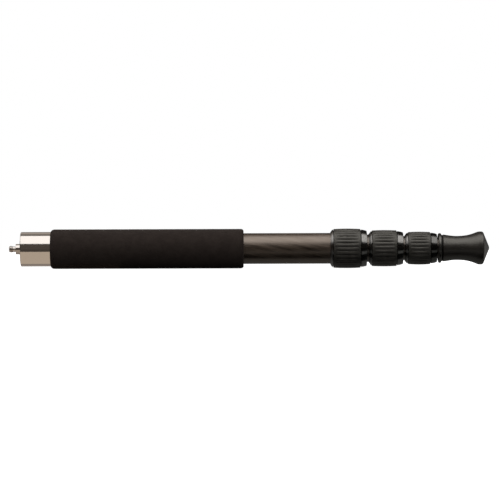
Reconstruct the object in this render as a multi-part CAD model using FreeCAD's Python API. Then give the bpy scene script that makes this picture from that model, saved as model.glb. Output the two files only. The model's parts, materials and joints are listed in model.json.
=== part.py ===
import FreeCAD, Part
import math
import os

# A four-section telescopic camera leg with twist locks, folded, lying along X.
# Millimetres. The origin is on the leg's axis at the head's shoulder face, the
# foot is towards +X, the camera stud towards -X, and +Z is up.

# Tubes, from the thickest to the thinnest
tube_diameter = 28.0        # outside of section 1
tube_wall = 1.0
tube_gap = 0.5              # radial room between one tube and the next
nest_step = 3.0             # each inner tube starts this far behind the one around it
keyway_width = 5.0
keyway_depth = 0.35
glue_gap = 0.05             # radial room for the adhesive in a bonded joint

# Head and camera stud
head_diameter = 31.3
head_cap_length = 16.0      # solid metal before the socket for section 1
socket_depth = 18.0
head_chamfer = 0.5
boss_diameter = 9.525       # the 3/8 inch spigot
boss_length = 4.6
flange_diameter = 12.0      # the stud's flange, let in flush with the head's face
flange_thickness = 1.0
neck_diameter = 5.0
neck_length = 2.6
thread_diameter = 6.35      # 1/4 inch camera thread, over its crests
thread_length = 3.4
shank_diameter = 8.0
shank_length = 12.0
stud_chamfer = 0.6

# Foam grip
foam_start = 27.25
foam_length = 175.5
foam_diameter = 36.0
foam_head_radius = 3.6      # rounding of the edge beside the head
foam_tail_radius = 2.4
foam_lip = 0.1              # flat face left at an end where the foam is thin

# Twist locks, one value for each lock from the head to the foot
bare_tube_length = 78.85    # section 1 between the foam and the first lock
lock_gaps = [1.7, 1.4]      # between one lock and the next
shoulder_lengths = [2.5, 2.6, 2.8]     # the ferrule's flange, seen at the head end
shoulder_swells = [2.0, 1.6, 1.9]      # its height halfway up to the rim, above the tube
rubber_lengths = [24.9, 22.75, 20.5]   # with the gap beside the flange
ring_lengths = [5.8, 5.95, 6.1]        # bare metal at the collar's foot end
flute_counts = [30, 28, 26]
flute_phases = [8.9, 4.5, 9.4]   # degrees from -Y towards -Z to the first flute
crown_drops = [0.4, 0.28, 0.4]   # from the rubber's middle to its ends

# Twist locks, shared
lock_height = 4.0           # from a tube's surface to the crown of its lock's rubber
shoulder_lip = 0.3          # height of the flange's first edge above the tube
shoulder_drop = 1.0         # from the rubber's crown down to the flange's rim
shoulder_edge = 0.3         # rounding of the rim
face_gap = 0.4              # between the flange and the turning collar
sleeve_wall = 1.25          # ferrule, from the tube to the thread's crests
thread_relief = 0.5         # undercut in front of the thread
thread_clearance = 0.15
lip_length = 1.2            # the ferrule's inner lip, where the tube ends and guides stop
lip_clearance = 0.15
cone_length = 9.0           # tapered mouth of the ferrule
cone_start = 0.85           # height of the taper above the inner tube, at the lip
cone_end = 1.9              # and at the mouth
cone_clearance = 0.08
collet_clearance = 0.1      # from the inner tube
collet_end_gap = 0.3        # between the lip and the collet's thin end
collet_step = 0.55          # from the ferrule's mouth to the collet's flange
collet_flange = 1.6
collet_flange_height = 2.5
collet_slot = 1.2
collet_slots = 6            # one of them goes right through
seat_clearance = 0.1        # between the collet's flange and the collar's step
nose_length = 4.4           # the collar beyond its inner step
mouth_clearance = 0.6       # around the inner tube
rubber_wall = 1.35
rubber_edge = 0.4
flute_margin = 2.3          # plain rubber at each end of a flute
flute_sink = 0.27           # the flute's arc, below the rubber at the flute's ends
flute_flank = 51.0          # degrees from the flute's middle plane
ring_step = 1.05            # from the rubber's crown down to the metal
ring_taper = 0.85
ring_swell = 0.28           # drop halfway along the taper
nose_radius = 0.8
relief_width = 0.75         # groove in the bare metal beside the rubber
relief_depth = 0.6          # and its floor below the rubber's seat
groove_width = 2.4
groove_depth = 1.4
groove_inset = 1.0          # from the collar's end to the wiper's groove
wiper_clearance = 0.25
wiper_fit = 0.1

# Guide shells on the hidden end of each inner tube
guide_length = 32.0
guide_inset = 1.0           # from the tube's end
guide_clearance = 0.1
guide_split = 0.8
guide_chamfer = 0.15
key_clearance = 0.15
pip_diameter = 4.0
pip_height = 0.8
pip_clearance = 0.1

# Foot
disc_gap = 1.1              # between the last lock and the stop disc
disc_diameter = 27.1
disc_thickness = 2.95
disc_radius = 1.3
plug_length = 22.0
plug_floor = 6.0            # closed end of the plug's threaded bore
stud_diameter = 9.525       # 3/8 inch foot thread, over its crests
stud_length = 14.0          # past the disc
stud_clearance = 0.1
rim_diameter = 23.8         # the insert's flange
rim_thickness = 1.15
core_diameter = 12.0
core_length = 24.0
core_head_diameter = 15.0
core_head_length = 4.0
foot_length = 42.45
foot_rim_diameter = 24.5
foot_rim_radius = 0.9
waist_diameter = 21.9
waist_place = 12.75         # from the foot's rim face
flare_diameter = 30.0
flare_place = 33.75
cone_angle = 22.3           # degrees between the tip's cone and the rim's plane
flare_radius = 2.2
tip_radius = 5.5

# What follows from the sizes above
tube_step = tube_wall + tube_gap
tube_radii = [tube_diameter / 2 - k * tube_step for k in range(4)]
tube_starts = [head_cap_length + k * nest_step for k in range(4)]
skirt_end = head_cap_length + socket_depth
lock_lengths = [sum(parts) for parts in zip(shoulder_lengths, rubber_lengths, ring_lengths)]
lock_starts = [foam_start + foam_length + bare_tube_length]
for length, gap in zip(lock_lengths, lock_gaps):
    lock_starts.append(lock_starts[-1] + length + gap)
disc_start = lock_starts[-1] + lock_lengths[-1] + disc_gap
collet_stack = cone_length + collet_step + collet_flange + seat_clearance
tube_ends = [start + length - nose_length - collet_stack - lip_length
             for start, length in zip(lock_starts, lock_lengths)] + [disc_start]
rim_start = disc_start + disc_thickness
foot_start = rim_start + rim_thickness

axis_x = FreeCAD.Vector(1, 0, 0)
axis_y = FreeCAD.Vector(0, 1, 0)
origin = FreeCAD.Vector(0, 0, 0)


# A point of a turned outline: x along the leg, r from its axis
def spot(x, r):
    return FreeCAD.Vector(x, 0, r)


def line(first, last):
    return Part.LineSegment(spot(*first), spot(*last)).toShape()


def lines(*points):
    return [line(first, last) for first, last in zip(points, points[1:])]


def arc(first, middle, last):
    return Part.Arc(spot(*first), spot(*middle), spot(*last)).toShape()


def bezier(*poles):
    curve = Part.BezierCurve()
    curve.setPoles([spot(*pole) for pole in poles])
    return curve.toShape()


# A solid turned about the leg's axis from the edges of a closed outline
def turned(edges):
    solid = Part.Face(Part.Wire(Part.__sortEdges__(edges))).revolve(origin, axis_x, 360)
    if solid.Volume < 0:
        solid.reverse()
    return solid


def turned_corners(*corners):
    return turned(lines(*corners, corners[0]))


def cylinder(start, end, radius):
    return Part.makeCylinder(radius, end - start, spot(start, 0), axis_x)


def pipe(start, end, outer, inner):
    return turned_corners((start, inner), (start, outer), (end, outer), (end, inner))


# The place on a quarter circle halfway round, from (x, r) towards the axis and along X
def round_middle(x, r, radius):
    share = radius * (1 - math.sqrt(0.5))
    return x + radius - share, r - share


# A bar through the axis with round faces above and below, for keyways and their keys
def key_bar(start, end, radius, width):
    block = Part.makeBox(end - start, width, 2 * radius,
                         FreeCAD.Vector(start, -width / 2, -radius))
    return cylinder(start, end, radius).common(block)


# Holes or pips above and below, square to the axis
def cross_pin(x, radius, reach):
    return Part.makeCylinder(radius, 2 * reach, FreeCAD.Vector(x, 0, -reach), FreeCAD.Vector(0, 0, 1))


def camera_stud():
    flange, boss, neck, thread, shank = (d / 2 for d in (flange_diameter, boss_diameter, neck_diameter,
                                                         thread_diameter, shank_diameter))
    neck_start = -boss_length - neck_length
    tip = neck_start - thread_length
    edge = boss_length - stud_chamfer / 2
    return turned_corners(
        (shank_length, 0), (shank_length, shank), (flange_thickness, shank), (flange_thickness, flange),
        (0, flange), (0, boss), (-edge, boss),
        (-boss_length, boss - stud_chamfer / 2), (-boss_length, neck), (neck_start, neck),
        (neck_start, thread), (tip + stud_chamfer, thread), (tip, thread - stud_chamfer), (tip, 0))


def head():
    outer = head_diameter / 2
    socket = tube_radii[0] + glue_gap
    shank = shank_diameter / 2 + glue_gap
    flange = flange_diameter / 2 + glue_gap
    floor = shank_length + glue_gap
    return turned_corners(
        (0, flange), (0, outer - head_chamfer), (head_chamfer, outer), (skirt_end, outer),
        (skirt_end, socket), (head_cap_length, socket), (head_cap_length, 0), (floor, 0),
        (floor, shank), (flange_thickness, shank), (flange_thickness, flange))


# A rounded end of the foam: the places where the arc starts, passes and reaches the outside.
# Where the foam is thinner than the radius the arc starts beside its bore.
def foam_corner(x, side, bore, radius):
    hub = foam_diameter / 2 - radius
    low = max(hub, bore + foam_lip)
    reach = math.sqrt(radius ** 2 - (low - hub) ** 2)
    turn = (math.asin((low - hub) / radius) + math.pi / 2) / 2
    return ((x, low), (x + side * (reach - radius * math.cos(turn)), hub + radius * math.sin(turn)),
            (x + side * reach, foam_diameter / 2))


def foam_grip():
    wide, narrow = head_diameter / 2 + glue_gap, tube_radii[0] + glue_gap
    end = foam_start + foam_length
    step = skirt_end + glue_gap
    head_side = foam_corner(foam_start, 1, wide, foam_head_radius)
    tail_side = foam_corner(end, -1, narrow, foam_tail_radius)
    edges = [arc(*head_side), arc(*tail_side)]
    edges += lines(head_side[2], tail_side[2])
    edges += lines(tail_side[0], (end, narrow), (step, narrow), (step, wide), (foam_start, wide), head_side[0])
    return turned(edges)


# The middle of a section's guide shells, where they are pinned to the tube
def guide_middle(k):
    return tube_starts[k] + guide_inset + guide_length / 2


def tube(k):
    start, end, outer = tube_starts[k], tube_ends[k], tube_radii[k]
    inner = outer - tube_wall
    solid = pipe(start, end, outer, inner)
    if k < 3:
        solid = solid.cut(key_bar(start, end, inner + keyway_depth, keyway_width))
    if k > 0:
        solid = solid.cut(cross_pin(guide_middle(k), pip_diameter / 2 + pip_clearance, outer + 1))
    return solid


# Two half shells that centre an inner tube and keep it from turning
def guide_shells(k):
    start = tube_starts[k] + guide_inset
    end = start + guide_length
    inner = tube_radii[k] + glue_gap
    bore = tube_radii[k - 1] - tube_wall
    outer = bore - guide_clearance
    shell = turned_corners(
        (start, inner), (start, outer - guide_chamfer), (start + guide_chamfer, outer),
        (end - guide_chamfer, outer), (end, outer - guide_chamfer), (end, inner))
    keys = key_bar(start, end, bore + keyway_depth - key_clearance, keyway_width - 2 * key_clearance)
    pips = cross_pin(guide_middle(k), pip_diameter / 2, outer)
    hollow = cylinder(start - 1, end + 1, inner)
    core = cylinder(start - 1, end + 1, tube_radii[k] - pip_height)
    split = Part.makeBox(guide_length + 2, 2 * bore, guide_split,
                         FreeCAD.Vector(start - 1, -bore, -guide_split / 2))
    return shell.fuse([keys.cut(hollow), pips.cut(core)]).removeSplitter().cut(split)


# The radius of a lock's taper at x, in the ferrule around the collet
def taper_radius(k, x):
    lip_end = tube_ends[k] + lip_length
    rise = (cone_end - cone_start) / cone_length
    return tube_radii[k + 1] + cone_start + rise * (x - lip_end)


# The threaded sleeve bonded over a tube's end, with the flange that shows and a tapered mouth
def ferrule(k):
    start, outer, inner = lock_starts[k], tube_radii[k], tube_radii[k + 1]
    rim = outer + lock_height - shoulder_drop
    shoulder = start + shoulder_lengths[k]
    slope_end = shoulder - 1.5 * shoulder_edge
    swell = outer + 2 * shoulder_swells[k] - (shoulder_lip + lock_height - shoulder_drop) / 2
    bore, thread, lip = outer + glue_gap, outer + sleeve_wall, inner + lip_clearance
    seat = tube_ends[k]
    lip_end = seat + lip_length
    mouth = lip_end + cone_length
    chamfer = (thread - taper_radius(k, mouth)) / 2
    edges = [bezier((start, outer + shoulder_lip), ((start + slope_end) / 2, swell), (slope_end, rim)),
             bezier((slope_end, rim), (shoulder, rim + 0.6 * shoulder_edge), (shoulder, rim - shoulder_edge))]
    edges += lines((shoulder, rim - shoulder_edge), (shoulder, thread - thread_relief),
                   (shoulder + 2 * thread_relief, thread), (mouth - chamfer, thread),
                   (mouth, thread - chamfer), (mouth, taper_radius(k, mouth)),
                   (lip_end, taper_radius(k, lip_end)), (lip_end, lip), (seat, lip), (seat, bore),
                   (start, bore), (start, outer + shoulder_lip))
    return turned(edges)


# The split tapered ring that the collar pushes into the ferrule to grip the inner tube
def collet(k):
    inner = tube_radii[k + 1]
    bore = inner + collet_clearance
    thin_end = tube_ends[k] + lip_length + collet_end_gap
    step = tube_ends[k] + lip_length + cone_length + collet_step
    end = step + collet_flange
    flange = inner + collet_flange_height
    solid = turned_corners(
        (thin_end, bore), (thin_end, taper_radius(k, thin_end) - cone_clearance),
        (step, taper_radius(k, step) - cone_clearance), (step, flange), (end, flange), (end, bore))
    for turn in range(collet_slots):
        reach = (end if turn == 0 else step - collet_flange) - thin_end + 1
        slot = Part.makeBox(reach, collet_slot, flange + 1, FreeCAD.Vector(thin_end - 1, -collet_slot / 2, 0))
        slot.rotate(origin, axis_x, 360 * turn / collet_slots)
        solid = solid.cut(slot)
    return solid


# The turning nut, bare at its foot end and cut down under its rubber
def collar(k):
    start = lock_starts[k]
    end = start + lock_lengths[k]
    crown = tube_radii[k] + lock_height
    inner = tube_radii[k + 1]
    thread = tube_radii[k] + sleeve_wall + thread_clearance
    seat = crown - rubber_wall
    face = start + shoulder_lengths[k] + face_gap
    rubber_end = end - ring_lengths[k]
    step = end - nose_length
    mouth = inner + mouth_clearance
    groove_end = end - groove_inset
    groove_start = groove_end - groove_width
    groove = mouth + groove_depth
    high, low = crown - ring_step, crown - ring_step - ring_taper
    taper_start, taper_end = rubber_end + relief_width, end - nose_radius
    edges = [arc((taper_start, high), ((taper_start + taper_end) / 2, high - ring_swell), (taper_end, low)),
             arc((taper_end, low), round_middle(taper_end, low, nose_radius), (end, low - nose_radius))]
    edges += lines((end, low - nose_radius), (end, mouth), (groove_end, mouth), (groove_end, groove),
                   (groove_start, groove), (groove_start, mouth), (step, mouth), (step, thread),
                   (face, thread), (face, seat), (rubber_end, seat), (rubber_end, seat - relief_depth),
                   (taper_start, high))
    return turned(edges)


# The rubber around a collar, crowned, with flutes that fade out before its ends
def grip_ring(k):
    start = lock_starts[k] + shoulder_lengths[k] + face_gap
    end = lock_starts[k] + lock_lengths[k] - ring_lengths[k]
    crown = tube_radii[k] + lock_height
    low = crown - crown_drops[k]
    inner = crown - rubber_wall + glue_gap
    middle = (start + end) / 2
    edges = [arc((start + rubber_edge, low), (middle, crown), (end - rubber_edge, low))]
    edges += lines((end - rubber_edge, low), (end, low - rubber_edge), (end, inner), (start, inner),
                   (start, low - rubber_edge), (start + rubber_edge, low))
    return turned(edges).cut(flute_cutters(k, middle, end - start, crown))


# Discs with a V edge, set round the ring so that each sinks a shallow arc into it
def flute_cutters(k, middle, length, crown):
    half = length / 2 - flute_margin
    brim = crown - crown_drops[k] * (2 * half / length) ** 2
    root = brim - flute_sink
    radius = (half ** 2 + flute_sink ** 2) / (2 * flute_sink)
    depth = 2 * (crown - root)
    spread = depth * math.tan(math.radians(flute_flank))
    sweep = 2 * math.degrees(math.asin((half + flute_margin / 2) / radius))
    edge = Part.Face(Part.makePolygon([
        FreeCAD.Vector(middle, 0, root), FreeCAD.Vector(middle, spread, root + depth),
        FreeCAD.Vector(middle, -spread, root + depth), FreeCAD.Vector(middle, 0, root)]))
    hub = FreeCAD.Vector(middle, 0, root + radius)
    edge.rotate(hub, axis_y, -sweep / 2)
    cutter = edge.revolve(hub, axis_y, sweep)
    cutters = []
    for turn in range(flute_counts[k]):
        # From +Z, the front of the leg at -Y is a quarter turn about X
        angle = 90 + flute_phases[k] + 360 * turn / flute_counts[k]
        cutters.append(cutter.copy().rotated(origin, axis_x, angle))
    return cutters


# The rubber lip that keeps dust out of a collar's mouth
def wiper(k):
    inner = tube_radii[k + 1]
    mouth = inner + mouth_clearance
    outer = mouth + groove_depth - wiper_fit
    groove_end = lock_starts[k] + lock_lengths[k] - groove_inset
    start, end = groove_end - groove_width + wiper_fit, groove_end - wiper_fit
    lip = inner + wiper_clearance
    middle = (start + end) / 2
    return turned_corners((start, outer), (end, outer), (end, mouth), (middle + groove_width / 6, lip),
                          (middle, lip), (start, mouth))


def end_plug():
    outer = tube_radii[3] - tube_wall - glue_gap
    bore = stud_diameter / 2 + stud_clearance
    start, floor = disc_start - plug_length, disc_start - plug_length + plug_floor
    edge = tube_wall / 2
    return turned_corners((start, 0), (start, outer - edge), (start + edge, outer), (disc_start, outer),
                          (disc_start, bore), (floor, bore), (floor, 0))


def stop_disc():
    outer, bore = disc_diameter / 2, stud_diameter / 2 + stud_clearance
    end = disc_start + disc_thickness
    near = disc_radius * (1 - math.sqrt(0.5))
    edges = [arc((disc_start, outer - disc_radius), (disc_start + near, outer - near),
                 (disc_start + disc_radius, outer)),
             arc((end - disc_radius, outer), (end - near, outer - near), (end, outer - disc_radius))]
    edges += lines((disc_start + disc_radius, outer), (end - disc_radius, outer))
    edges += lines((end, outer - disc_radius), (end, bore), (disc_start, bore),
                   (disc_start, outer - disc_radius))
    return turned(edges)


# Stud, visible rim and moulded-in core of the foot, one turned piece
def foot_insert():
    stud, rim, core, knob = (d / 2 for d in (stud_diameter, rim_diameter, core_diameter,
                                             core_head_diameter))
    tip = disc_start - stud_length
    core_end = foot_start + core_length
    knob_start = core_end - core_head_length
    return turned_corners(
        (tip, 0), (tip, stud - stud_chamfer), (tip + stud_chamfer, stud), (rim_start, stud),
        (rim_start, rim), (foot_start, rim), (foot_start, core), (knob_start, core),
        (knob_start, knob), (core_end, knob), (core_end, 0))


# The rubber foot: a waisted grip that flares to a blunt cone
def rubber_foot():
    rim, waist, flare = foot_rim_diameter / 2, waist_diameter / 2, flare_diameter / 2
    waist_x, flare_x, tip_x = (foot_start + place for place in (waist_place, flare_place, foot_length))
    slope = math.radians(cone_angle)
    # The cone touches the tip's ball and meets the flare's cylinder at the brow, which is rounded
    ball_x = tip_x - tip_radius
    touch = (ball_x + tip_radius * math.cos(slope), tip_radius * math.sin(slope))
    ball_middle = (ball_x + tip_radius * math.cos(slope / 2), tip_radius * math.sin(slope / 2))
    brow = touch[0] - (flare - touch[1]) * math.tan(slope)
    cut = flare_radius * math.tan((math.pi / 2 - slope) / 2)
    turn = (math.pi / 2 - slope) / 2
    brow_end = (brow + cut * math.sin(slope), flare - cut * math.cos(slope))
    brow_middle = (brow - cut + flare_radius * math.sin(turn),
                   flare - flare_radius * (1 - math.cos(turn)))
    near = foot_rim_radius * (1 - math.sqrt(0.5))
    rise = flare_x - waist_x
    edges = [
        arc((foot_start, rim - foot_rim_radius), (foot_start + near, rim - near),
            (foot_start + foot_rim_radius, rim)),
        bezier((foot_start + foot_rim_radius, rim), (foot_start + waist_place * 0.4, rim - 0.4 * (rim - waist)),
               (foot_start + waist_place * 0.65, waist), (waist_x, waist)),
        bezier((waist_x, waist), (waist_x + rise * 0.67, waist), (flare_x - rise * 0.19, flare),
               (flare_x, flare)),
        line((flare_x, flare), (brow - cut, flare)),
        arc((brow - cut, flare), brow_middle, brow_end),
        line(brow_end, touch),
        arc(touch, ball_middle, (tip_x, 0))]
    core, knob = core_diameter / 2 + glue_gap, core_head_diameter / 2 + glue_gap
    core_end = foot_start + core_length + glue_gap
    knob_start = foot_start + core_length - core_head_length - glue_gap
    edges += lines((tip_x, 0), (core_end, 0), (core_end, knob), (knob_start, knob), (knob_start, core),
                   (foot_start, core), (foot_start, rim - foot_rim_radius))
    return turned(edges)


pieces = {
    "camera_stud": camera_stud(),
    "head": head(),
    "foam_grip": foam_grip(),
    "end_plug": end_plug(),
    "stop_disc": stop_disc(),
    "foot_insert": foot_insert(),
    "rubber_foot": rubber_foot(),
}
for k in range(4):
    pieces[f"tube_{k + 1}"] = tube(k)
for k in range(1, 4):
    pieces[f"guide_shells_{k + 1}"] = guide_shells(k)
for k in range(3):
    pieces[f"ferrule_{k + 1}"] = ferrule(k)
    pieces[f"collet_{k + 1}"] = collet(k)
    pieces[f"collar_{k + 1}"] = collar(k)
    pieces[f"grip_ring_{k + 1}"] = grip_ring(k)
    pieces[f"wiper_{k + 1}"] = wiper(k)

os.makedirs("parts", exist_ok=True)
for name, shape in pieces.items():
    shape.exportStep(f"parts/{name}.step")

# How far each section slides out before its guide shells meet the lip of the ferrule
for k in range(1, 4):
    travel = tube_ends[k - 1] - (tube_starts[k] + guide_inset + guide_length)
    print(f"section {k + 1} travel {travel:.2f} mm")
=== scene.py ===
import json
import math

import bpy
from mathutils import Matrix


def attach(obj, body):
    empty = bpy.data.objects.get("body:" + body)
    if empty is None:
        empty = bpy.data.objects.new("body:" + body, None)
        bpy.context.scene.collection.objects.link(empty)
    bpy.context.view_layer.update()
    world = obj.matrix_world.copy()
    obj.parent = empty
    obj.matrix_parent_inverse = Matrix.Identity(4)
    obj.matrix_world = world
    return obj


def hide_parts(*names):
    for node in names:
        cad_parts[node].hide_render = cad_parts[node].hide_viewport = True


# A folded telescopic camera leg, lying along X with its head to the left.
# Sizes in the dictionaries are millimetres, and mm turns them into metres.

mm = 0.001
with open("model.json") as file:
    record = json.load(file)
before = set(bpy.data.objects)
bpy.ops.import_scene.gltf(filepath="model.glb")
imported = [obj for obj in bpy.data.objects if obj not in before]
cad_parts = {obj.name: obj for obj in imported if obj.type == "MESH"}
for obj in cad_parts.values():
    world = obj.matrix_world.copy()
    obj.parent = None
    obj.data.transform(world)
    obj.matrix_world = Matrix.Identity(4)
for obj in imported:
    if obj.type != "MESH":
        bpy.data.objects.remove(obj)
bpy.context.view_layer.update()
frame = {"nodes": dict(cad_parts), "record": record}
nodes = frame["nodes"]
print("frame loaded,", len(nodes), "nodes")


# Modelling tools

def inMetres(values):
    return [value * mm for value in values]


def choose(piece):
    bpy.ops.object.select_all(action="DESELECT")
    piece.select_set(True)
    bpy.context.view_layer.objects.active = piece


# A new piece in edit mode, whose mesh is one point
def startPoint(name, place):
    bpy.ops.object.select_all(action="DESELECT")
    bpy.ops.mesh.primitive_plane_add(size=mm)
    piece = bpy.context.object
    piece.name = piece.data.name = name
    bpy.ops.object.mode_set(mode="EDIT")
    bpy.ops.mesh.merge(type="CENTER")
    bpy.ops.transform.translate(value=inMetres(place))
    return piece


def extrudePoint(step):
    bpy.ops.mesh.extrude_vertices_move(TRANSFORM_OT_translate={"value": inMetres(step)})


# An outline of (x, r) points, drawn above the leg's axis
def drawOutline(name, points):
    x, r = points[0]
    piece = startPoint(name, (x, 0, r))
    for nextX, nextR in points[1:]:
        extrudePoint((nextX - x, 0, nextR - r))
        x, r = nextX, nextR
    bpy.ops.mesh.select_all(action="SELECT")
    return piece


# Points closer than weld in mm become one, and all faces point outwards
def closeMesh(weld):
    bpy.ops.mesh.select_all(action="SELECT")
    bpy.ops.mesh.remove_doubles(threshold=weld * mm)
    bpy.ops.mesh.normals_make_consistent(inside=False)
    bpy.ops.object.mode_set(mode="OBJECT")


# The outline, still in edit mode, is spun about the leg's axis
def spinOutline(steps, turn=2 * math.pi):
    bpy.ops.mesh.spin(steps=steps, angle=turn, center=(0, 0, 0), axis=(1, 0, 0))
    closeMesh(weld=0.002)


def useModifier(piece, kind, **settings):
    choose(piece)
    bpy.ops.object.modifier_add(type=kind)
    change = piece.modifiers[-1]
    for setting, value in settings.items():
        setattr(change, setting, value)
    bpy.ops.object.modifier_apply(modifier=change.name)


# The surface moves along its normals, by amount times the weight that weightAt gives a place in mm
def pushSurface(piece, amount, weightAt, **settings):
    group = piece.vertex_groups.new(name="push")
    for vertex in piece.data.vertices:
        weight = weightAt(*(vertex.co / mm))
        if weight > 0:
            group.add([vertex.index], weight, "REPLACE")
    useModifier(piece, "DISPLACE", strength=amount * mm, mid_level=0, vertex_group="push", **settings)
    piece.vertex_groups.clear()


def softShade(piece, degrees):
    choose(piece)
    bpy.ops.object.shade_smooth_by_angle(angle=math.radians(degrees))


# Points of an arc about the middle of a rounded corner, from a first to a last angle in degrees
def roundCorner(middle, radius, first, last, steps):
    points = []
    for step in range(steps + 1):
        angle = math.radians(first + (last - first) * step / steps)
        points.append((middle[0] + radius * math.cos(angle), middle[1] + radius * math.sin(angle)))
    return points


# Even places from start to end
def rows(start, end, count):
    return [start + (end - start) * step / count for step in range(count + 1)]


# Shader tools

# Another node's socket is linked to an input, and any other value is set on it
def feed(tree, node, inputs):
    for socket, value in inputs.items():
        if isinstance(value, bpy.types.NodeSocket):
            tree.links.new(value, node.inputs[socket])
        else:
            node.inputs[socket].default_value = value


def addNode(tree, kind, inputs=None, **settings):
    node = tree.nodes.new("ShaderNode" + kind)
    for setting, value in settings.items():
        setattr(node, setting, value)
    feed(tree, node, inputs or {})
    return node


def addMath(tree, operation, *values, **settings):
    return addNode(tree, "Math", dict(enumerate(values)), operation=operation, **settings).outputs[0]


# How many of a length in mm go into a metre
def perMetre(tree, length):
    return addMath(tree, "DIVIDE", 1 / mm, length)


def blendColour(tree, mask, low, high):
    first, second, blended = 6, 7, 2   # the Mix node's sockets for colours
    mix = addNode(tree, "Mix", {0: mask, first: (*low, 1), second: (*high, 1)}, data_type="RGBA")
    return mix.outputs[blended]


def startEffect(name, inputs, outputs):
    tree = bpy.data.node_groups.new(name, "ShaderNodeTree")
    for label, kind, value in [("Vector", "Vector", None)] + inputs:
        socket = tree.interface.new_socket(label, in_out="INPUT", socket_type="NodeSocket" + kind)
        if value is not None:
            socket.default_value = value
    for label in outputs:
        tree.interface.new_socket(label, in_out="OUTPUT", socket_type="NodeSocketFloat")
    return tree, tree.nodes.new("NodeGroupInput").outputs, tree.nodes.new("NodeGroupOutput")


def useEffect(tree, effect, **inputs):
    return addNode(tree, "Group", inputs, node_tree=effect).outputs


# Even grain of a given size in mm, as a height and as a contrasty mask
def makeGrain():
    tree, given, result = startEffect(
        "grain", [("Size", "Float", 0.5), ("Contrast", "Float", 2.0)], ["Height", "Mask"])
    noise = addNode(tree, "TexNoise", {"Vector": given["Vector"], "Scale": perMetre(tree, given["Size"]),
                                       "Detail": 2.0, "Roughness": 0.6}).outputs["Fac"]
    offset = addMath(tree, "SUBTRACT", noise, 0.5)
    mask = addMath(tree, "MULTIPLY_ADD", offset, given["Contrast"], 0.5, use_clamp=True)
    feed(tree, result, {"Height": noise, "Mask": mask})
    return tree


# Fine lines round the leg, as a lathe leaves them
def makeLatheLines():
    tree, given, result = startEffect("latheLines", [("Pitch", "Float", 0.1)], ["Height", "Mask"])
    pitches = perMetre(tree, given["Pitch"])
    place = addNode(tree, "SeparateXYZ", {0: given["Vector"]}).outputs
    along = addMath(tree, "MULTIPLY", place["X"], pitches)
    lines = addNode(tree, "TexNoise", {"W": along, "Scale": 1.0, "Detail": 3.0, "Roughness": 0.7},
                    noise_dimensions="1D").outputs["Fac"]
    mask = addNode(tree, "MapRange", {"Value": lines, "From Min": 0.35, "From Max": 0.65}).outputs[0]
    feed(tree, result, {"Height": lines, "Mask": mask})
    return tree


# Slow, uneven marks of handling
def makeHandling():
    tree, given, result = startEffect("handling", [("Size", "Float", 20.0)], ["Wear"])
    noise = addNode(tree, "TexNoise", {"Vector": given["Vector"], "Scale": perMetre(tree, given["Size"]),
                                       "Detail": 4.0, "Roughness": 0.62, "Distortion": 0.4})
    wear = addNode(tree, "MapRange", {"Value": noise.outputs["Fac"], "From Min": 0.38, "From Max": 0.66},
                   interpolation_type="SMOOTHSTEP")
    feed(tree, result, {"Wear": wear.outputs[0]})
    return tree


# Streaks that wind round the leg, Twist in radians for a metre
def makeFibres():
    tree, given, result = startEffect(
        "fibres", [("Twist", "Float", 18.0), ("Length", "Float", 30.0), ("Width", "Float", 1.5)],
        ["Streak"])
    place = addNode(tree, "SeparateXYZ", {0: given["Vector"]}).outputs
    angle = addMath(tree, "MULTIPLY", place["X"], given["Twist"])
    turned = addNode(tree, "VectorRotate", {"Vector": given["Vector"], "Angle": angle},
                     rotation_type="X_AXIS")
    lengths, widths = perMetre(tree, given["Length"]), perMetre(tree, given["Width"])
    scale = addNode(tree, "CombineXYZ", {"X": lengths, "Y": widths, "Z": widths})
    stretched = addNode(tree, "VectorMath", {0: turned.outputs[0], 1: scale.outputs[0]},
                        operation="MULTIPLY")
    noise = addNode(tree, "TexNoise", {"Vector": stretched.outputs[0], "Scale": 1.0, "Detail": 3.0,
                                       "Roughness": 0.55})
    streak = addNode(tree, "MapRange", {"Value": noise.outputs["Fac"], "From Min": 0.32, "From Max": 0.68},
                     interpolation_type="SMOOTHSTEP")
    feed(tree, result, {"Streak": streak.outputs[0]})
    return tree


grain, latheLines, handling, fibres = makeGrain(), makeLatheLines(), makeHandling(), makeFibres()


def startMaterial(name):
    material = bpy.data.materials.new(name)
    material.use_nodes = True
    tree = material.node_tree
    place = addNode(tree, "TexCoord").outputs["Object"]
    return material, tree, tree.nodes["Principled BSDF"], place


# One mask goes from the low to the high colour, another through the roughness, and a height makes the bump
def coat(tree, surface, look, tone, shine, height):
    low, high = look["roughness"]
    roughness = addNode(tree, "MapRange", {"Value": shine, "To Min": low, "To Max": high})
    bump = addNode(tree, "Bump", {"Height": height, "Distance": look["depth"] * mm, "Strength": 1.0})
    feed(tree, surface, {"Base Color": blendColour(tree, tone, look["low"], look["high"]),
                         "Roughness": roughness.outputs[0], "Normal": bump.outputs[0]})


def setGloss(tree, surface, look):
    feed(tree, surface, {"IOR": look["ior"], "Specular IOR Level": look["gloss"],
                         "Specular Tint": (*look["tint"], 1)})


# Metal as the lathe left it, or polished
def makeTurnedMetal(name, look):
    material, tree, surface, place = startMaterial(name)
    lines = useEffect(tree, latheLines, Vector=place, Pitch=look["linePitch"])
    wear = useEffect(tree, handling, Vector=place, Size=look["wearSize"])
    coat(tree, surface, look, lines["Mask"], wear["Wear"], lines["Height"])
    feed(tree, surface, {"Metallic": 1.0})
    return material


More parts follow.
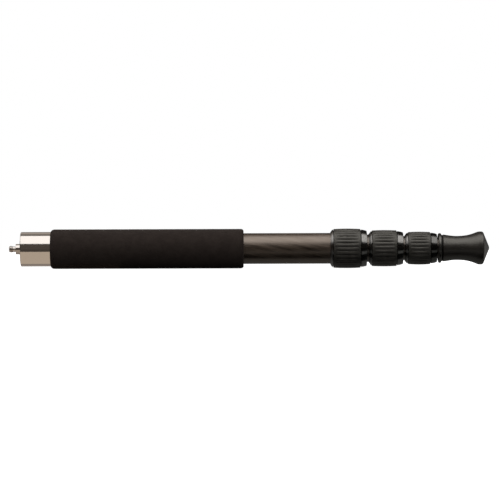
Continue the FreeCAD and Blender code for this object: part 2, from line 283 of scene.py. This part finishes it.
def makeFoamSkin(name, look):
    material, tree, surface, place = startMaterial(name)
    pores = useEffect(tree, grain, Vector=place, Size=look["poreSize"], Contrast=look["contrast"])
    clouds = useEffect(tree, handling, Vector=place, Size=look["cloudSize"])
    both = addMath(tree, "ADD", clouds["Wear"], pores["Mask"])
    coat(tree, surface, look, addMath(tree, "MULTIPLY", both, 0.5), pores["Mask"], pores["Height"])
    feed(tree, surface, {"Specular IOR Level": look["gloss"], "Sheen Weight": look["sheen"],
                         "Sheen Roughness": look["sheenRoughness"]})
    return material


# Long wide bands of fibre with fine threads over them, under clear resin
def makeCarbonWrap(name, look):
    material, tree, surface, place = startMaterial(name)
    bands = useEffect(tree, fibres, Vector=place, Twist=look["twist"],
                      Length=look["bandLength"], Width=look["bandWidth"])
    threads = useEffect(tree, fibres, Vector=place, Twist=look["twist"],
                        Length=look["threadLength"], Width=look["threadWidth"])
    share = look["threadShare"]
    fine = addMath(tree, "MULTIPLY", threads["Streak"], share)
    tone = addMath(tree, "MULTIPLY_ADD", bands["Streak"], 1 - share, fine)
    coat(tree, surface, look, tone, tone, tone)
    setGloss(tree, surface, look)
    return material


def makeBlackAnodised(name, look):
    material, tree, surface, place = startMaterial(name)
    fine = useEffect(tree, grain, Vector=place, Size=look["grainSize"], Contrast=look["contrast"])
    coarse = useEffect(tree, grain, Vector=place, Size=look["coarseSize"], Contrast=look["coarseContrast"])
    both = addMath(tree, "ADD", fine["Mask"], coarse["Mask"])
    coat(tree, surface, look, addMath(tree, "MULTIPLY", both, 0.5), fine["Mask"], fine["Height"])
    # Turned on a lathe, so its gloss spreads along the leg and stays sharp round it
    around = addNode(tree, "Tangent", direction_type="RADIAL", axis="X").outputs[0]
    feed(tree, surface, {"Metallic": 1.0, "Anisotropic": 1.0, "Anisotropic Rotation": 0.25,
                         "Tangent": around})
    return material


def makeRubber(name, look):
    material, tree, surface, place = startMaterial(name)
    fine = useEffect(tree, grain, Vector=place, Size=look["grainSize"], Contrast=look["contrast"])
    wear = useEffect(tree, handling, Vector=place, Size=look["wearSize"])
    coat(tree, surface, look, wear["Wear"], fine["Mask"], fine["Height"])
    setGloss(tree, surface, look)
    return material


def makeAcetal(name, look):
    material, tree, surface, place = startMaterial(name)
    wear = useEffect(tree, handling, Vector=place, Size=look["wearSize"])
    lines = useEffect(tree, latheLines, Vector=place, Pitch=look["linePitch"])
    coat(tree, surface, look, wear["Wear"], lines["Mask"], lines["Height"])
    return material


# Sizes, pitches and depths in mm, and what the looks of one kind share
carbonWeave = {"twist": -17.0, "bandLength": 42.0, "bandWidth": 3.2, "threadLength": 14.0,
               "threadWidth": 0.4, "threadShare": 0.4, "gloss": 1.0}
nutGrain = {"grainSize": 0.5, "contrast": 4.0, "coarseSize": 1.3, "coarseContrast": 3.0, "depth": 0.0015}
anyRubber = {"contrast": 3.0, "ior": 1.52, "tint": (1, 0.965, 0.89)}
looks = {
    "steel": makeTurnedMetal("polishedSteel", {
        "low": (0.455, 0.425, 0.40), "high": (0.50, 0.467, 0.44), "roughness": (0.07, 0.12),
        "linePitch": 0.12, "depth": 0.0012, "wearSize": 14.0}),
    "foam": makeFoamSkin("foamSkin", {
        "low": (0.038, 0.029, 0.026), "high": (0.056, 0.044, 0.039), "roughness": (0.78, 0.95),
        "poreSize": 0.45, "contrast": 3.0, "depth": 0.05, "cloudSize": 9.0,
        "gloss": 0.04, "sheen": 0.04, "sheenRoughness": 0.5}),
    "carbon": makeCarbonWrap("carbonWrap", {
        **carbonWeave, "low": (0.0135, 0.0075, 0.0045), "high": (0.064, 0.042, 0.028),
        "roughness": (0.28, 0.52), "depth": 0.012, "ior": 1.74, "tint": (1, 0.855, 0.735)}),
    # A darker copy of the carbon for the inner tubes, which show only in the narrow gaps between the
    # locks: painted shade there
    "carbon_inner_shaded": makeCarbonWrap("carbonInnerShaded", {
        **carbonWeave, "low": (0.006, 0.004, 0.003), "high": (0.026, 0.018, 0.013),
        "roughness": (0.24, 0.38), "depth": 0.008, "ior": 1.6, "tint": (1, 0.89, 0.79)}),
    "anodised": makeBlackAnodised("anodisedNut", {
        **nutGrain, "low": (0.13, 0.1275, 0.1225), "high": (0.225, 0.22, 0.212),
        "roughness": (0.26, 0.31)}),
    # A darker copy of the anodised metal for the last collar: painted shade, a dimmer reflection than the
    # other collars show
    "anodised_last_shaded": makeBlackAnodised("anodisedLastNutShaded", {
        **nutGrain, "low": (0.08, 0.0785, 0.0755), "high": (0.14, 0.137, 0.132),
        "roughness": (0.26, 0.31)}),
    # A rougher copy of the anodised metal for the flanges, lighter in colour too: the rougher finish is
    # their own, the extra lightness is a painted highlight
    "anodised_flange_lit": makeBlackAnodised("anodisedFlangeLit", {
        **nutGrain, "low": (0.185, 0.181, 0.175), "high": (0.305, 0.298, 0.288),
        "roughness": (0.32, 0.38)}),
    "grip_rubber": makeRubber("gripRubber", {
        **anyRubber, "low": (0.034, 0.0325, 0.0285), "high": (0.052, 0.0498, 0.0442),
        "roughness": (0.40, 0.56), "grainSize": 0.3, "depth": 0.015, "wearSize": 7.0, "gloss": 0.62}),
    "foot_rubber": makeRubber("footRubber", {
        **anyRubber, "low": (0.0185, 0.0160, 0.0142), "high": (0.0265, 0.0237, 0.0212),
        "roughness": (0.34, 0.44), "grainSize": 0.5, "depth": 0.006, "wearSize": 12.0, "gloss": 0.8}),
    "disc_rubber": makeRubber("discRubber", {
        **anyRubber, "low": (0.014, 0.013, 0.0125), "high": (0.021, 0.020, 0.019),
        "roughness": (0.25, 0.33), "grainSize": 0.4, "depth": 0.004, "wearSize": 6.0, "gloss": 1.0}),
    "seal_rubber": makeRubber("sealRubber", {
        **anyRubber, "low": (0.010, 0.010, 0.010), "high": (0.016, 0.016, 0.015),
        "roughness": (0.36, 0.5), "grainSize": 0.3, "depth": 0.008, "wearSize": 4.0, "gloss": 0.5}),
    # The insert's steel is blackened, and its near-black colour also paints the shade in the narrow step
    # between the stop disc and the foot
    "insert_steel": makeTurnedMetal("blackenedShadedSteel", {
        "low": (0.010, 0.0097, 0.0093), "high": (0.017, 0.0165, 0.0158), "roughness": (0.50, 0.62),
        "linePitch": 0.2, "depth": 0.004, "wearSize": 6.0}),
    "plug_aluminium": makeTurnedMetal("turnedAluminium", {
        "low": (0.52, 0.52, 0.53), "high": (0.66, 0.66, 0.67), "roughness": (0.24, 0.36),
        "linePitch": 0.25, "depth": 0.006, "wearSize": 8.0}),
    "acetal": makeAcetal("naturalAcetal", {
        "low": (0.66, 0.65, 0.61), "high": (0.76, 0.75, 0.71), "roughness": (0.34, 0.46),
        "linePitch": 0.3, "depth": 0.003, "wearSize": 8.0}),
}
print("materials made:", len(looks))

slotOf = {part["node"]: part["material_slot"] for part in frame["record"]["subparts"]}
# Some pieces take another copy of their slot's look: the stop disc a glossier rubber, the inner tubes and
# the last collar darker copies that paint shade, the flanges a lighter copy that paints a highlight
lookOf = {"stop_disc": "disc_rubber", "tube_2": "carbon_inner_shaded", "tube_3": "carbon_inner_shaded",
          "tube_4": "carbon_inner_shaded", "collar_3": "anodised_last_shaded", "ferrule_1": "anodised_flange_lit",
          "ferrule_2": "anodised_flange_lit", "ferrule_3": "anodised_flange_lit"}
for node, piece in nodes.items():
    piece.material_slots[0].material = looks[lookOf.get(node, slotOf[node])]


def finishPiece(piece, node, slot, body):
    piece.data.materials.clear()
    piece.data.materials.append(looks[slot])
    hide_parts(node)
    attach(piece, body)


# Foam sleeve over the head's skirt and the first tube
foamSleeve = {"start": 27.25, "end": 202.75, "radius": 18.0, "headBore": 15.7, "tubeBore": 14.05,
              "step": 34.05, "headEdge": 3.6, "headSteps": 7, "tailEdge": 2.4, "tailSteps": 6,
              "rowLength": 1.6, "boreRows": 24, "steps": 96, "lip": 0.1, "skin": 0.5,
              "uneven": 0.10, "unevenSize": 9.0}


def makeFoamSleeve(size):
    start, end, radius = size["start"], size["end"], size["radius"]
    step, headBore, tubeBore = size["step"], size["headBore"], size["tubeBore"]
    headEdge, tailEdge = size["headEdge"], size["tailEdge"]
    # The foam is thin round the head, so the big rounding of that end runs out beside the bore
    cutOff = math.degrees(math.asin((headBore + size["lip"] - (radius - headEdge)) / headEdge))
    nearEdge, farEdge = start + headEdge * math.cos(math.radians(cutOff)), end - tailEdge
    outline = [(start, headBore), (step, headBore), (step, tubeBore)]
    outline += [(x, tubeBore) for x in rows(step, end, size["boreRows"])[1:]]
    outline += roundCorner((farEdge, radius - tailEdge), tailEdge, 0, 90, size["tailSteps"])
    count = round((farEdge - nearEdge) / size["rowLength"])
    outline += [(x, radius) for x in rows(farEdge, nearEdge, count)[1:-1]]
    outline += roundCorner((nearEdge, radius - headEdge), headEdge, 90, 180 - cutOff, size["headSteps"])
    piece = drawOutline("foamSleeve", outline + outline[:1])
    spinOutline(size["steps"])
    clouds = bpy.data.textures.new("foamUneven", "CLOUDS")
    clouds.noise_scale = size["unevenSize"] * mm
    pushSurface(piece, -size["uneven"],
                lambda x, y, z: 1 if math.hypot(y, z) > radius - size["skin"] else 0,
                texture=clouds, texture_coords="LOCAL")
    softShade(piece, 50)
    finishPiece(piece, "foam_grip", "foam", "section_1")


makeFoamSleeve(foamSleeve)
print("foam sleeve made")

# Stud for a camera, with its thread cut: flank and runOut are shares of the pitch, flatRoot of a flank
cameraStud = {"tip": -10.6, "threadEnd": -7.2, "rootRadius": 2.5, "crestRadius": 3.175, "pitch": 1.27,
              "flank": 0.3125, "flatRoot": 0.2, "runOut": 0.5, "tipChamfer": 0.6, "tipPlain": 0.05,
              "faceRing": 1.5, "neckEdge": 0.3, "spigotEnd": -4.6, "spigotRadius": 4.7625,
              "spigotEdge": 0.15, "edgeMiddle": 0.3, "flangeRadius": 6.0, "flangeDepth": 1.0,
              "shankRadius": 4.0, "shankEnd": 12.0, "rowsForPitch": 12, "steps": 60}


def makeCameraStud(size):
    tip, threadEnd, pitch = size["tip"], size["threadEnd"], size["pitch"]
    root, spigot, spigotEnd = size["rootRadius"], size["spigotRadius"], size["spigotEnd"]
    neck, edge, middle = size["neckEdge"], size["spigotEdge"], size["spigotEdge"] * size["edgeMiddle"]
    outline = [(tip, 0), (tip, size["faceRing"])]
    threadRows = round((threadEnd - tip) / pitch * size["rowsForPitch"])
    outline += [(x, root) for x in rows(tip, threadEnd, threadRows)]
    outline += [(spigotEnd - neck, root), (spigotEnd, root + neck), (spigotEnd, spigot - edge),
                (spigotEnd + middle, spigot - middle), (spigotEnd + edge, spigot), (0, spigot),
                (0, size["flangeRadius"]), (size["flangeDepth"], size["flangeRadius"]),
                (size["flangeDepth"], size["shankRadius"]), (size["shankEnd"], size["shankRadius"]),
                (size["shankEnd"], 0)]
    piece = drawOutline("threadedStud", outline)
    spinOutline(size["steps"])
    depth = size["crestRadius"] - root

    # The share of the thread's depth at a place, as its 60 degree ridge winds past
    def threadAt(x, y, z):
        onFace = math.hypot(y, z) < (size["faceRing"] + root) / 2
        if onFace or not tip + size["tipPlain"] < x < threadEnd:
            return 0
        phase = (x / pitch + math.atan2(y, z) / (2 * math.pi)) % 1
        flank = min(max((0.5 - abs(phase - 0.5)) / size["flank"] - size["flatRoot"], 0), 1)
        cone = (x - tip + size["crestRadius"] - size["tipChamfer"] - root) / depth
        fade = (threadEnd - x) / (size["runOut"] * pitch)
        return max(min(flank, cone, fade), 0)

    pushSurface(piece, depth, threadAt)
    softShade(piece, 35)
    finishPiece(piece, "camera_stud", "steel", "section_1")


makeCameraStud(cameraStud)
print("threaded stud made")

# Fluted rubber round each lock, with broad soft ridges between narrow grooves
anyGrip = {"wall": 1.3, "edge": 0.4, "edgeSteps": 3, "flutePlain": 1.5, "fluteDepth": 0.72,
           "fadePower": 0.55, "ridgePower": 0.62, "rowCount": 36, "stepsForFlute": 12}
# Phase is the first groove's angle from the side that faces the camera
gripRings = [{"start": 284.5, "end": 309.0, "crown": 18.0, "drop": 0.4, "flutes": 30, "phase": 8.9},
             {"start": 319.5, "end": 341.85, "crown": 16.5, "drop": 0.28, "flutes": 28, "phase": 4.5},
             {"start": 352.4, "end": 372.5, "crown": 15.0, "drop": 0.4, "flutes": 26, "phase": 9.4}]


# One ridge's wedge is modelled, and copied round the lock
def makeGripRing(number, size):
    start, end, crown, drop = size["start"], size["end"], size["crown"], size["drop"]
    middle, half, edge = (start + end) / 2, (end - start) / 2, size["edge"]
    bore, low = crown - size["wall"], crown - drop
    wedge = 2 * math.pi / size["flutes"]
    outline = [(start, bore), (end, bore)]
    outline += roundCorner((end - edge, low - edge), edge, 0, 90, size["edgeSteps"])
    outline += [(x, crown - drop * ((x - middle) / (half - edge)) ** 2)
                for x in rows(end - edge, start + edge, size["rowCount"])[1:-1]]
    outline += roundCorner((start + edge, low - edge), edge, 90, 180, size["edgeSteps"])
    piece = drawOutline(f"flutedGrip_{number}", outline + outline[:1])
    spinOutline(size["stepsForFlute"], wedge)
    fluteHalf = half - size["flutePlain"]

    # The groove's share of its depth: deepest on the wedge's middle, fading out before the ring's ends
    def grooveAt(x, y, z):
        if math.hypot(y, z) < low - edge / 2 or abs(x - middle) > fluteHalf:
            return 0
        turn = abs(math.atan2(y, z)) / wedge
        across = 1 - abs(math.cos(math.pi * turn)) ** size["ridgePower"]
        along = (1 - ((x - middle) / fluteHalf) ** 2) ** size["fadePower"]
        return across * along

    pushSurface(piece, -size["fluteDepth"], grooveAt)
    bpy.ops.object.empty_add(rotation=(wedge, 0, 0))
    turner = bpy.context.object
    useModifier(piece, "ARRAY", count=size["flutes"], use_relative_offset=False, use_object_offset=True,
                offset_object=turner, use_merge_vertices=True, use_merge_vertices_cap=True,
                merge_threshold=0.01 * mm)
    bpy.data.objects.remove(turner)
    choose(piece)
    bpy.ops.object.mode_set(mode="EDIT")
    closeMesh(weld=0.005)
    # The wedge stands above the axis, a quarter turn from the camera's side
    piece.rotation_euler.x = math.radians(90 + size["phase"]) - wedge / 2
    bpy.ops.object.transform_apply()
    softShade(piece, 40)
    finishPiece(piece, f"grip_ring_{number}", "grip_rubber", f"collar_body_{number}")


for number, size in enumerate(gripRings, 1):
    makeGripRing(number, {**anyGrip, **size})
print("fluted grips made:", len(gripRings))

# Floor, light and camera
floorZ = -18.0
studio = {"legMiddle": 208.1, "ambient": 0.10, "ambientColour": (0.97, 0.98, 1.0),
          "softboxAngle": 68.5, "softboxDistance": 1000.0, "softboxHalf": 32.0, "softboxLength": 2400.0,
          "softboxPower": 10.3, "softboxColour": (1.0, 0.975, 0.945),
          "floorSide": 80000.0, "floorPaint": 0.94, "floorBounce": 0.2, "floorWhite": 1.6,
          "floorFade": (350.0, 900.0), "floorShare": (0.5, 1.0)}

# Cards outside the picture that metal and rubber mirror: (y, z) of two edges, x range, colour and strength
cardZ = floorZ + 0.1
front, rear, left, headEnd, right = -1200, 900, -900, 90, 1700
headSpan, lockSpan, nearSpan = (left, headEnd), (headEnd, right), (headEnd, 440)
copper, honey, sand, cream = (1.0, 0.84, 0.71), (1.0, 0.85, 0.69), (1.0, 0.87, 0.77), (1.0, 0.90, 0.80)
ivory, linen, pearl, chalk = (1.0, 0.93, 0.86), (1.0, 0.97, 0.92), (1.0, 0.98, 0.95), (1.0, 1.0, 0.97)
cards = {
    "headFront": ((front, cardZ), (front, 860), headSpan, copper, 0.125),
    "headFrontFloor": ((-64, cardZ), (front, cardZ), headSpan, copper, 0.102),
    "studFloor": ((-6, cardZ), (-64, cardZ), (left, -4), honey, 0.58),
    "headFloor": ((-6, cardZ), (-64, cardZ), (-4, headEnd), honey, 0.81),
    "headRearFloor": ((60, cardZ), (-6, cardZ), headSpan, sand, 0.42),
    "headRear": ((60, cardZ), (rear, cardZ), headSpan, cream, 0.52),
    "headBackLow": ((rear, cardZ), (810.7, 633.4), headSpan, cream, 0.34),
    "headBackGlow": ((810.7, 633.4), (725.3, 1256.3), headSpan, cream, 0.60),
    "headBackHigh": ((725.3, 1256.3), (500, 2900), headSpan, cream, 0.27),
    "tubeBack": ((860, 600), (480, 2800), (60, 290), ivory, 2.0),
    "tubeBrow": ((-987.2, 637.3), (-723.8, 741.1), (headEnd, 400), linen, 0.03),
    "lockBrow": ((-992.7, 651.4), (-825.3, 717.4), lockSpan, linen, 0.03),
    "lockFront": ((front, cardZ), (front, 860), lockSpan, linen, 0.005),
    "lockFrontFloor": ((-59, cardZ), (front, cardZ), lockSpan, linen, 0.005),
    "lockStrip": ((-31, cardZ), (-59, cardZ), lockSpan, chalk, 0.21),
    # The dark strip right under the locks paints the leg's shadow on the floor, for metal and rubber to
    # mirror
    "lockFloorShadow": ((-12, cardZ), (-31, cardZ), lockSpan, chalk, 0.006),
    "lockRearFloor": ((60, cardZ), (-12, cardZ), nearSpan, chalk, 0.16),
    "lockRear": ((60, cardZ), (rear, cardZ), nearSpan, pearl, 0.03),
    "lockBack": ((rear, cardZ), (500, 2900), (headEnd, 1150), pearl, 0.03),
    "footRear": ((-12, cardZ), (rear, cardZ), (440, right), pearl, 0.38),
    "footBack": ((rear, cardZ), (500, 2900), (1150, right), pearl, 0.62),
}
# The same, standing across the leg: x, y range, z range, colour and strength
endCards = {
    "leftShade": (left, (front, rear), (cardZ, 400), linen, 0.007),
    "leftFront": (left, (front, -250), (400, 1300), linen, 0.02),
    "leftGlow": (left, (-250, rear), (400, 1400), studio["softboxColour"], 1.0),
    "lockSideShade": (100, (300, rear), (cardZ, 1200), linen, 0.02),
    "rightShade": (right, (front, rear), (cardZ, 900), linen, 0.06),
}


def emptyTree(owner):
    owner.use_nodes = True
    owner.node_tree.nodes.clear()
    return owner.node_tree


# A corner is drawn out into an edge, and the edge into the card, which only gloss sees
def addCard(name, corner, edge, sweep, colour, strength):
    card = startPoint(name, corner)
    extrudePoint(edge)
    bpy.ops.mesh.select_all(action="SELECT")
    bpy.ops.mesh.extrude_edges_move(TRANSFORM_OT_translate={"value": inMetres(sweep)})
    bpy.ops.object.mode_set(mode="OBJECT")
    card.visible_camera = card.visible_diffuse = card.visible_shadow = card.visible_transmission = False
    material = bpy.data.materials.new(name)
    tree = emptyTree(material)
    glow = addNode(tree, "Emission", {"Color": (*colour, 1), "Strength": strength})
    addNode(tree, "OutputMaterial", {"Surface": glow.outputs[0]})
    card.data.materials.append(material)


for name, (first, last, xSpan, colour, strength) in cards.items():
    addCard(name, (xSpan[0], *first), (0, last[0] - first[0], last[1] - first[1]),
            (xSpan[1] - xSpan[0], 0, 0), colour, strength)
for name, (x, ySpan, zSpan, colour, strength) in endCards.items():
    addCard(name, (x, ySpan[0], zSpan[0]), (0, ySpan[1] - ySpan[0], 0), (0, 0, zSpan[1] - zSpan[0]),
            colour, strength)
print("cards placed:", len(cards) + len(endCards))


# 1 for what the camera, gloss or glass sees, and 0 for light that falls on the leg or the floor
def seenDirectly(tree):
    path = addNode(tree, "LightPath").outputs
    either = addMath(tree, "MAXIMUM", path["Is Camera Ray"], path["Is Glossy Ray"])
    return addMath(tree, "MAXIMUM", either, path["Is Transmission Ray"])


def makeWorld():
    world = bpy.data.worlds.new("studioWorld")
    bpy.context.scene.world = world
    tree = emptyTree(world)
    ambient = addNode(tree, "Background", {"Color": (*studio["ambientColour"], 1),
                                           "Strength": studio["ambient"]})
    white = addNode(tree, "Background", {"Color": (1, 1, 1, 1), "Strength": 1.0})
    mix = addNode(tree, "MixShader", {0: seenDirectly(tree), 1: ambient.outputs[0], 2: white.outputs[0]})
    addNode(tree, "OutputWorld", {"Surface": mix.outputs[0]})


def makeFloor():
    bpy.ops.object.select_all(action="DESELECT")
    bpy.ops.mesh.primitive_plane_add(size=studio["floorSide"] * mm, location=(0, 0, floorZ * mm))
    floor = bpy.context.object
    floor.name = floor.data.name = "studioFloor"
    material = bpy.data.materials.new("paleFloor")
    tree = emptyTree(material)
    place = addNode(tree, "NewGeometry").outputs["Position"]
    offset = addNode(tree, "VectorMath", {0: place, 1: (studio["legMiddle"] * mm, 0, 0)},
                     operation="DISTANCE")
    # Near the leg, half of the floor's white is light that it gives back, so the leg's shadow stays in it
    near, far = inMetres(studio["floorFade"])
    nearShare, farShare = studio["floorShare"]
    share = addNode(tree, "MapRange", {"Value": offset.outputs["Value"], "From Min": near, "From Max": far,
                                       "To Min": nearShare, "To Max": farShare},
                    interpolation_type="SMOOTHSTEP").outputs[0]
    seen = addMath(tree, "MULTIPLY", seenDirectly(tree), share)
    # Darker for light that bounces on to the leg's underside
    paint = blendColour(tree, addNode(tree, "LightPath").outputs["Is Diffuse Ray"],
                        [studio["floorPaint"]] * 3, [studio["floorBounce"]] * 3)
    matte = addNode(tree, "BsdfDiffuse", {"Color": paint})
    white = addNode(tree, "Emission", {"Strength": studio["floorWhite"]})
    mix = addNode(tree, "MixShader", {0: seen, 1: matte.outputs[0], 2: white.outputs[0]})
    addNode(tree, "OutputMaterial", {"Surface": mix.outputs[0]})
    floor.data.materials.append(material)


def addSoftbox():
    angle, distance = math.radians(studio["softboxAngle"]), studio["softboxDistance"] * mm
    place = (studio["legMiddle"] * mm, -math.cos(angle) * distance, math.sin(angle) * distance)
    bpy.ops.object.light_add(type="AREA", rotation=(math.pi / 2 - angle, 0, 0), location=place)
    lamp = bpy.context.object
    lamp.name = "softbox"
    lamp.data.shape = "RECTANGLE"
    lamp.data.size = studio["softboxLength"] * mm
    lamp.data.size_y = 2 * distance * math.tan(math.radians(studio["softboxHalf"]))
    lamp.data.energy = studio["softboxPower"]
    lamp.data.color = studio["softboxColour"]
    lamp.visible_camera = False


# Level with the leg and square to it, with the roll in degrees that the picture has
def addCamera():
    shot = {"distance": 2600.0, "height": -0.82, "roll": 0.17, "lens": 206.0, "sensor": 36.0,
            "clipStart": 0.1, "clipEnd": 100.0}
    place = inMetres((studio["legMiddle"], -shot["distance"], shot["height"]))
    bpy.ops.object.camera_add(location=place, rotation=(math.pi / 2, math.radians(shot["roll"]), 0))
    camera = bpy.context.object
    camera.data.lens, camera.data.sensor_width = shot["lens"], shot["sensor"]
    camera.data.clip_start, camera.data.clip_end = shot["clipStart"], shot["clipEnd"]
    bpy.context.scene.camera = camera


makeWorld()
makeFloor()
addSoftbox()
addCamera()
bpy.context.scene.view_settings.view_transform = "Standard"
print("studio set up")
